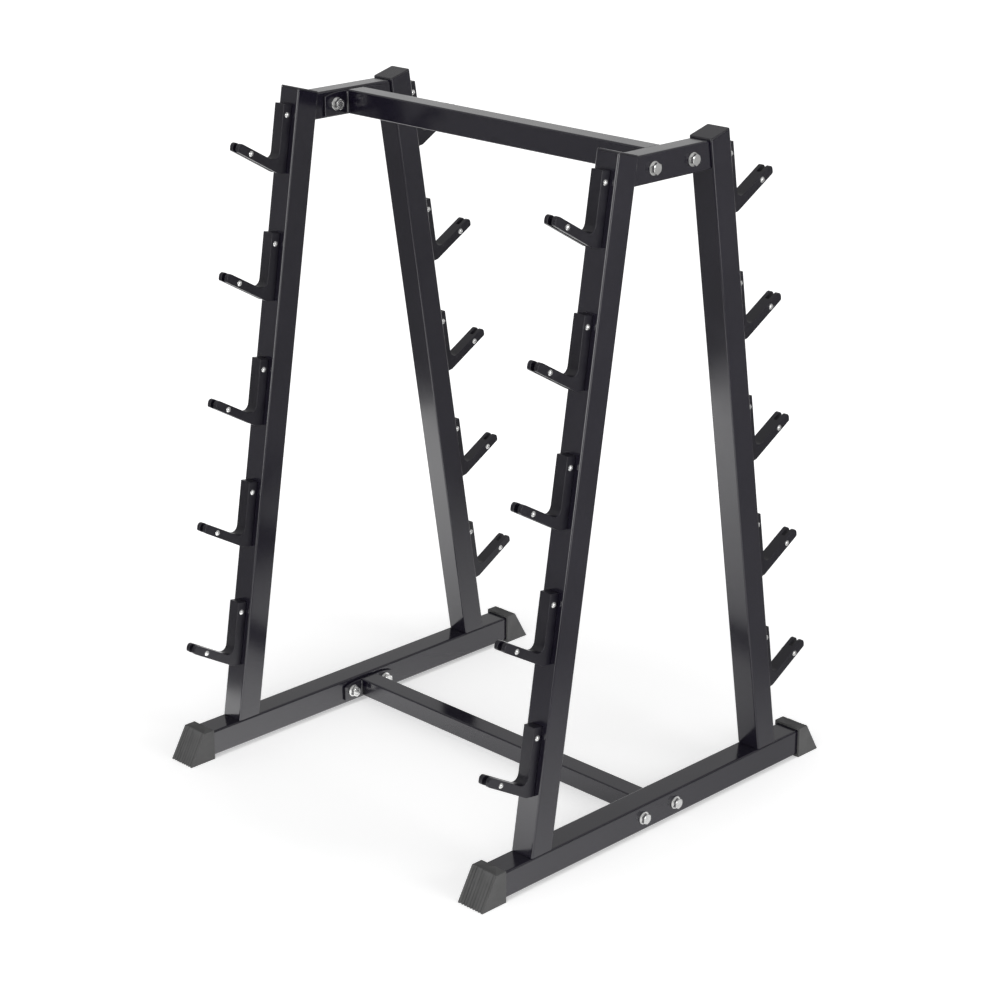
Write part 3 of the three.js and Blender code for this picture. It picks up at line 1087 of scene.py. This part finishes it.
@dataclass
class FrameBolt:
    """The M12 bolts through the frames, with their nuts and washers.

    Attributes:
        diameter: The thread's diameter.
        chamfer: The chamfer on the bolt's end.
        washer: The washer's diameter.
        washer_thickness: Its thickness.
        washer_edge: The chamfer round it.
        flats: The width across flats of the head and the nut.
        head: The height of the head.
        nut: The height of the nut.
        inset: How far the bolt's end lies inside the nut.
        steps: How many faces go round the bolt and the washer.
    """

    diameter: float = 0.012
    chamfer: float = 0.0004
    washer: float = 0.024
    washer_thickness: float = 0.0025
    washer_edge: float = 0.0004
    flats: float = 0.018
    head: float = 0.0075
    nut: float = 0.01
    inset: float = 0.0002
    steps: int = 48

    def washer_ring(self, start: float) -> BMesh:
        """Makes a washer along X.

        Args:
            start: Where its seat is.

        Returns:
            The washer.
        """
        hole, outer, edge = self.diameter / 2 + FIT_GAP, self.washer / 2, self.washer_edge
        end = start + self.washer_thickness
        return turned([
            (start, hole), (start, outer - edge), (start + edge, outer), (end - edge, outer),
            (end, outer - edge), (end, hole), (start, hole),
        ], self.steps)

    def build_bolt(self, node: str, place: Matrix, grip: float) -> None:
        """Builds a bolt with the washer under its head.

        Args:
            node: The construction's node.
            place: The frame of its seat, with the head toward +X.
            grip: The thickness that it clamps.
        """
        bm = self.washer_ring(FIT_GAP)
        merge(bm, Hexagon(self.flats, self.head, FIT_GAP + self.washer_thickness).build())
        tail = -(grip + FIT_GAP + self.washer_thickness + self.nut - self.inset)
        start, radius = self.washer_thickness, self.diameter / 2
        merge(bm, turned([
            (tail, 0), (tail, radius - self.chamfer), (tail + self.chamfer, radius),
            (start, radius), (start, 0),
        ], self.steps))
        finish_piece(f"{node}_zinc", bm, ZINC_PLATE, [node], place)

    def build_nut(self, node: str, place: Matrix, grip: float) -> None:
        """Builds a nut with its washer.

        Args:
            node: The construction's node.
            place: The frame of the bolt's seat, with the head toward +X.
            grip: The thickness between the two washers.
        """
        seat = grip + FIT_GAP
        bm = self.washer_ring(seat)
        bore = self.diameter + 2 * FIT_GAP
        merge(bm, Hexagon(self.flats, self.nut, seat + self.washer_thickness, bore).build())
        finish_piece(f"{node}_zinc", bm, ZINC_PLATE, [node], place @ HALF_TURN)


@dataclass
class Crossbar(SquareTube):
    """A crossbar with its end plates and bolts.

    Attributes:
        level: Which crossbar it is.
        plate_drop: How far the arched top of a plate has fallen at its ends.
        flat_share: The share of the plate's top that is level.
        plate_edge: The rounding of the plate's edges.
        arch_steps: How many straight steps each end of the arch has.
        weld: The size of the weld between the bar and its plate.
        weld_steps: How many straight steps the weld's curve has.
        bolt: The bolts through its plates.
    """

    level: Level = Level.UPPER
    corner: float = 0.003
    wall: float = 0.0025
    plate_drop: float = 0.0055
    flat_share: float = 0.5
    plate_edge: float = 0.0013
    arch_steps: int = 8
    weld: float = 0.0027
    weld_steps: int = 4
    bolt: FrameBolt = field(default_factory=FrameBolt)

    def build(self) -> None:
        """Builds the crossbar and what joins it to the two frames."""
        node = f"{self.level}_crossbar"
        low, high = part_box(node)
        bm = self.bar(low, high, axis=0)
        self.open_up(bm, axis=0)
        for side in Frame:
            for end in End:
                merge(bm, self.weld_bead(low, high, side, end))
        finish_piece(f"{node}_steel", bm, POWDER_COAT, [node])
        for side in Frame:
            self.build_plate(side)
            for end in End:
                self.build_fixing(side, end)

    def plate_node(self, side: Frame) -> str:
        """The node of the plate on one side."""
        return f"{self.level}_{side}_plate"

    def weld_bead(self, low: Vector, high: Vector, side: Frame, end: End) -> BMesh:
        """Makes the weld up one side of the bar, against its plate.

        Args:
            low: The bar's lowest corner.
            high: The bar's highest corner.
            side: The end of the crossbar.
            end: The side of the bar.

        Returns:
            The weld.
        """
        plate_low, plate_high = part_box(self.plate_node(side))
        face = plate_low.x if side is Frame.RIGHT else plate_high.x
        edge = high.y if end is End.REAR else low.y
        turns = [math.pi / 2 * i / self.weld_steps for i in range(self.weld_steps + 1)]
        arc = [
            (face - side.value * self.weld * math.sin(turn), edge + end.value * self.weld * math.cos(turn))
            for turn in turns
        ]
        bm = bmesh.new()
        polygon(bm, [(x, y, low.z + self.corner) for x, y in [(face, edge), *arc]])
        push(bm, list(bm.faces), (0, 0, high.z - low.z - 2 * self.corner))
        bmesh.ops.recalc_face_normals(bm, faces=bm.faces)
        return bm

    def build_plate(self, side: Frame) -> None:
        """Builds the plate across one end, with its arched top.

        Args:
            side: The end of the crossbar.
        """
        node = self.plate_node(side)
        low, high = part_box(node)
        half = high.y
        flat = half * self.flat_share
        shares = [i / self.arch_steps for i in range(self.arch_steps + 1)]
        falls = [(flat + (half - flat) * share, high.z - self.plate_drop * share**2) for share in shares]
        bm = bmesh.new()
        polygon(bm, [
            (low.x, -half, low.z), (low.x, half, low.z), *((low.x, y, z) for y, z in reversed(falls)),
            *((low.x, -y, z) for y, z in falls),
        ])
        push(bm, list(bm.faces), (high.x - low.x, 0, 0))
        soften(bm, self.plate_edge, angle=OUTLINE_ANGLE)
        finish_piece(f"{node}_steel", bm, POWDER_COAT, [node])

    def build_fixing(self, side: Frame, end: End) -> None:
        """Builds one bolt with its nut.

        Args:
            side: The end of the crossbar.
            end: Which of the plate's two bolts it is.
        """
        node = f"{self.level}_{side}_{end}"
        low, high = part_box(f"{node}_bolt")
        plate_low, plate_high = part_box(self.plate_node(side))
        head, inside = (high.x, plate_low.x) if side is Frame.RIGHT else (-low.x, -plate_high.x)
        seat = head - self.bolt.head - self.bolt.washer_thickness - FIT_GAP
        middle = (side.value * seat, (low.y + high.y) / 2, (low.z + high.z) / 2)
        place = Matrix.Translation(middle) @ side.turn
        self.bolt.build_bolt(f"{node}_bolt", place, seat - inside)
        self.bolt.build_nut(f"{node}_nut", place, seat - inside)


# Feet


@dataclass
class Foot:
    """The ribbed rubber cap on a tube end.

    Attributes:
        back: From the middle of the rack to the foot's back face.
        sleeve: The length of its level top.
        toe: How far the toe slopes outward on its way to the floor.
        ribs: How many ribs the toe has.
        groove_depth: The depth of the grooves between them.
        groove_share: The share of a rib's pitch that its groove takes.
        edge: The rounding of the rubber's edges.
        edge_steps: How many faces the rounding has.
        edge_angle: The least angle between two faces whose edge is rounded.
        socket: How far the tube reaches into the foot.
        socket_size: The width of the socket.
        floor_wall: The rubber under the tube.
    """

    back: float = 0.3963
    sleeve: float = 0.0232
    toe: float = 0.0347
    ribs: int = 9
    groove_depth: float = 0.0026
    groove_share: float = 0.45
    edge: float = 0.0005
    edge_steps: int = 2
    edge_angle: float = math.radians(40)
    socket: float = 0.019
    socket_size: float = 0.0506
    floor_wall: float = 0.0047

    def build(self, side: Frame, end: End) -> None:
        """Builds the foot of one tube end.

        Args:
            side: Its frame.
            end: Its end of the frame.
        """
        node = f"{side}_{end}_foot"
        low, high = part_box(node)
        width, height, depth = high.x - low.x, high.z, self.sleeve + self.toe
        bm = solid_box((width, depth, height), (0, -self.back - depth / 2, height / 2))
        self.cut_socket(bm)
        self.cut_grooves(bm, width, height)
        place = Matrix.Translation(((low.x + high.x) / 2, 0, 0)) @ end.turn
        finish_piece(f"{node}_rubber", bm, FOOT_RUBBER, [node], place)

    def cut_socket(self, bm: BMesh) -> None:
        """Opens the back of the foot for the tube end.

        Args:
            bm: The foot's mesh.
        """
        half, level = self.socket_size / 2, self.floor_wall + self.socket_size / 2
        back = max(bm.faces, key=lambda face: face.calc_center_median().y)
        bmesh.ops.inset_region(bm, faces=[back], thickness=self.edge * 4)
        for vert in back.verts:
            vert.co.x = math.copysign(half, vert.co.x)
            vert.co.z = level + math.copysign(half, vert.co.z - level)
        push(bm, [back], (0, -self.socket, 0))

    def cut_grooves(self, bm: BMesh, width: float, height: float) -> None:
        """Slopes the toe, cuts the grooves between its ribs and marks how deep each point of them lies, for
        the shade that the rubber's colour paints into them.

        Args:
            bm: The foot's mesh.
            width: Its width.
            height: Its height.
        """
        pitch, front = width / self.ribs, -self.back - self.sleeve - self.toe
        reach = pitch * self.groove_share / 2
        grooves = [pitch * i - width / 2 for i in range(1, self.ribs)]
        for groove in grooves:
            for x in (groove - reach, groove, groove + reach):
                bmesh.ops.bisect_plane(
                    bm, geom=whole(bm), dist=SAME_PLANE, plane_co=(x, 0, 0), plane_no=(1, 0, 0),
                )
        for vert in bm.verts:
            if abs(vert.co.y - front) < SAME_PLACE:
                if any(abs(vert.co.x - groove) < SAME_PLACE for groove in grooves):
                    vert.co.y += self.groove_depth
                vert.co.y += self.toe * vert.co.z / height
        join_flat_faces(bm)
        soften(bm, self.edge, self.edge_steps, self.edge_angle)
        # How deep a point lies in a groove, which the rubber's colour turns into painted shade.
        groove_shade = bm.verts.layers.float.new(GROOVE_SHADE_MARK)
        for vert in bm.verts:
            inside = vert.co.y - front - self.toe * vert.co.z / height
            if inside < self.sleeve and any(abs(vert.co.x - groove) < reach for groove in grooves):
                vert[groove_shade] = min(max(inside / self.groove_depth, 0), 1)


# Studio


@dataclass(frozen=True)
class Flag:
    """A card beside the rack, outside the picture, which only reflections show.

    Attributes:
        name: The card's name.
        direction: Where it is from the middle of the rack, in degrees from +X.
        near: From the middle of the rack to the card's front edge, where it starts to show.
        fade: The distance over which it comes to show fully.
        width: Its width.
        run: How far it lies on the floor.
        height: How high it rises at its back, or 0 for a flat card.
        bend: The radius of the bend between the two.
        bend_steps: How many faces the bend has.
        grey: Its colour.
        glow: How bright it shows besides its lit colour.
        lift: Its height over the floor.
    """

    name: str
    direction: float
    near: float
    fade: float
    width: float = 4.0
    run: float = 2.0
    height: float = 2.2
    bend: float = 0.6
    bend_steps: int = 8
    grey: float = 0.42
    glow: float = 0.0
    lift: float = 0.002

    def build(self) -> None:
        """Builds the card: it lies on the floor and rises at its back."""
        bm = bmesh.new()
        ends = [bm.verts.new((self.near, side * self.width / 2, self.lift)) for side in (-1, 1)]
        edges = [bm.edges.new(ends)]
        for move in ((self.run, 0, 0), (0, 0, self.height)) if self.height else ((self.run, 0, 0),):
            grown = bmesh.ops.extrude_edge_only(bm, edges=edges)["geom"]
            bmesh.ops.translate(bm, vec=move, verts=only(BMVert, grown))
            edges = [e for e in only(BMEdge, grown) if len(e.link_faces) == 1
                     and abs(e.verts[0].co.y - e.verts[1].co.y) > self.width / 2]
        round_off(bm, [e for e in bm.edges if len(e.link_faces) == 2], self.bend, self.bend_steps)
        turn = Matrix.Rotation(math.radians(self.direction), 4, "Z")
        bmesh.ops.transform(bm, matrix=turn, verts=bm.verts)
        card = add_mesh(self.name, bm, self.material())
        card.visible_camera = card.visible_diffuse = card.visible_shadow = False

    def material(self) -> Material:
        """Builds the card's colour, which fades in from its front edge.

        Returns:
            The material.
        """
        material = bpy.data.materials.new(self.name)
        nodes = Nodes(material)
        angle = math.radians(self.direction)
        place, ahead = nodes.add("ShaderNodeTexCoord", {}, "Object"), (math.cos(angle), math.sin(angle), 0)
        along = nodes.add("ShaderNodeVectorMath", {0: place, 1: ahead}, "Value", "DOT_PRODUCT")
        nodes.fill("Principled BSDF", {
            "Base Color": (self.grey, self.grey, self.grey, 1),
            "Roughness": 1,
            "Emission Color": WHITE,
            "Emission Strength": self.glow,
            "Alpha": nodes.spread(along, (self.near, self.near + self.fade), (0, 1)),
        })
        return material


@dataclass
class Studio:
    """The floor, the light and the camera.

    Attributes:
        camera_place: Where the camera stands.
        azimuth: Its direction round the rack, in degrees.
        elevation: Its height above the horizon, in degrees.
        lens: Its focal length in millimetres.
        sensor: The width of its sensor in millimetres.
        floor_size: The width of the floor.
        floor_white: The floor's colour.
        floor_lift: How much brighter than its lit colour the floor shows, near and far, so that it is white.
        floor_span: How far from the rack the first of the two starts to change, and the second is reached.
        painted_shadow_lift: The share of the lift that is left beside and under a base tube, which paints a
            darker contact shadow into the floor there.
        painted_shadow_reach: How far from a base tube the painted contact shadow fades out and the whole
            lift is reached.
        sky: How bright the sky shows at the horizon and overhead.
        sky_edge: The sine of the angle above the horizon where it shows as bright as overhead.
        sky_light: How bright the sky is as a light, at the horizon and overhead.
        sky_light_edge: The sine of the angle where its light is as bright as overhead.
        boxes: The place, the width and the power of each soft box.
        aim: The place that the soft boxes face.
        flags: The cards that shape the reflections.
    """

    camera_place: tuple[float, float, float] = (3.02726, -3.02256, 2.07557)
    azimuth: float = 45.005
    elevation: float = 19.951
    lens: float = 89.1
    sensor: float = 36.0
    floor_size: float = 60.0
    floor_white: float = 0.8
    floor_lift: Span = (0.55, 0.9)
    floor_span: Span = (0.5, 1.6)
    painted_shadow_lift: float = 0.6
    painted_shadow_reach: float = 0.0055
    sky: Span = (1.0, 0.42)
    sky_edge: float = 0.44
    sky_light: Span = (1.3, 0.25)
    sky_light_edge: float = 0.6
    boxes: tuple[tuple[tuple[float, float, float], float, float], ...] = (
        ((1.4, -4.8, 2.0), 4.0, 100.0), ((4.7, 0.9, 1.8), 2.4, 85.0),
    )
    aim: tuple[float, float, float] = (0, 0, 0.6)
    flags: tuple[Flag, ...] = (
        Flag("left_flag", 240, 0.93, 0.03),
        Flag("right_flag", 45, -0.15, 1.2, run=2.6),
        Flag("front_flag", 314, 1.3, 0.7, width=2.6, run=6.0, grey=0.25, lift=0.003),
        Flag("white_card", 217, 0.1, 0.75, width=2.4, run=1.2, height=0, grey=0.8, glow=1.4, lift=0.001),
    )

    def build(self) -> None:
        """Builds the whole studio."""
        self.build_floor()
        self.build_world()
        for box in self.boxes:
            self.build_soft_box(*box)
        for flag in self.flags:
            flag.build()
        self.build_camera()

    @staticmethod
    def seen_directly(nodes: Nodes) -> NodeSocket:
        """Adds a value that is 1 for what the camera, a reflection or a glass shows.

        Args:
            nodes: The nodes of the floor or of the sky.

        Returns:
            The value.
        """
        ray = nodes.tree.nodes.new("ShaderNodeLightPath").outputs
        seen = nodes.maths("MAXIMUM", ray["Is Camera Ray"], ray["Is Glossy Ray"])
        return nodes.maths("MAXIMUM", seen, ray["Is Transmission Ray"])

    @staticmethod
    def from_tubes(nodes: Nodes, place: NodeSocket) -> NodeSocket:
        """Adds the distance of a spot on the floor from the two base tubes, which places the painted contact
        shadow.

        Args:
            nodes: The floor's nodes.
            place: The spot.

        Returns:
            The distance, negative under a tube.
        """
        low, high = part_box("right_base_tube")
        parts = nodes.tree.nodes.new("ShaderNodeSeparateXYZ")
        nodes.fill(parts.name, {0: place})
        across, along = (nodes.maths("ABSOLUTE", parts.outputs[axis]) for axis in "XY")
        across = nodes.maths("ABSOLUTE", nodes.maths("SUBTRACT", across, (low.x + high.x) / 2))
        across = nodes.maths("SUBTRACT", across, (high.x - low.x) / 2)
        return nodes.maths("MAXIMUM", across, nodes.maths("SUBTRACT", along, high.y))

    def build_floor(self) -> None:
        """Builds the white floor, which takes the rack's shadow and has a contact shadow painted along the
        base tubes.
        """
        bm = bmesh.new()
        bmesh.ops.create_grid(bm, x_segments=1, y_segments=1, size=self.floor_size / 2)
        material = bpy.data.materials.new("white floor")
        nodes = Nodes(material)
        place = nodes.add("ShaderNodeTexCoord", {}, "Object")
        away = nodes.add("ShaderNodeVectorMath", {0: place}, "Value", "LENGTH")
        lift = nodes.spread(away, self.floor_span, self.floor_lift)
        # Painted contact shadow: the floor's lift falls beside and under each base tube, so the floor shows
        # darker there.
        share = nodes.spread(self.from_tubes(nodes, place), (0, self.painted_shadow_reach), (self.painted_shadow_lift, 1))
        shown = (0, nodes.maths("MULTIPLY", lift, share))
        nodes.fill("Principled BSDF", {
            "Base Color": (self.floor_white, self.floor_white, self.floor_white, 1),
            "Roughness": 1,
            "Specular IOR Level": 0,
            "Emission Color": WHITE,
            "Emission Strength": nodes.spread(self.seen_directly(nodes), (0, 1), shown),
        })
        add_mesh("floor", bm, material)

    def build_world(self) -> None:
        """Builds the sky, which is white at the horizon and greyer overhead."""
        world = bpy.data.worlds.new("studio")
        bpy.context.scene.world = world
        nodes = Nodes(world)
        way = nodes.add("ShaderNodeTexCoord", {}, "Generated")
        rise = nodes.add("ShaderNodeSeparateXYZ", {0: way}, "Z")
        light = nodes.spread(rise, (0, self.sky_light_edge), self.sky_light)
        look = nodes.spread(rise, (0, self.sky_edge), self.sky)
        strength = nodes.spread(self.seen_directly(nodes), (0, 1), (light, look))
        nodes.fill("Background", {"Color": WHITE, "Strength": strength})

    def build_soft_box(self, place: tuple[float, float, float], size: float, power: float) -> None:
        """Builds a square soft box that faces the rack.

        Args:
            place: Where it stands.
            size: Its width.
            power: Its power.
        """
        light = bpy.data.lights.new("soft_box", "AREA")
        light.size, light.energy = size, power
        lamp = add_object("soft_box", light)
        lamp.location = place
        lamp.rotation_euler = (Vector(self.aim) - Vector(place)).to_track_quat("-Z", "Y").to_euler()
        lamp.visible_camera = False

    def build_camera(self) -> None:
        """Builds the camera at the photograph's place and angle."""
        data = bpy.data.cameras.new("camera")
        data.lens, data.sensor_width, data.clip_end = self.lens, self.sensor, self.floor_size
        camera = add_object("camera", data)
        camera.location = self.camera_place
        camera.rotation_euler = (math.pi / 2 - math.radians(self.elevation), 0, math.radians(self.azimuth))
        bpy.context.scene.camera = camera
        bpy.context.scene.view_settings.view_transform = "Standard"


def main() -> None:
    """Builds the rack and its studio."""
    logging.basicConfig(level=logging.INFO, format="%(name)s: %(message)s")
    for side in Frame:
        BaseTube().build(side)
        TopTube().build(side)
        for end in End:
            for piece in (Post(), PostCap(), Hook(), Foot()):
                piece.build(side, end)
    for level in Level:
        Crossbar(level=level).build()
    Studio().build()


if __name__ == "__main__":
    main()
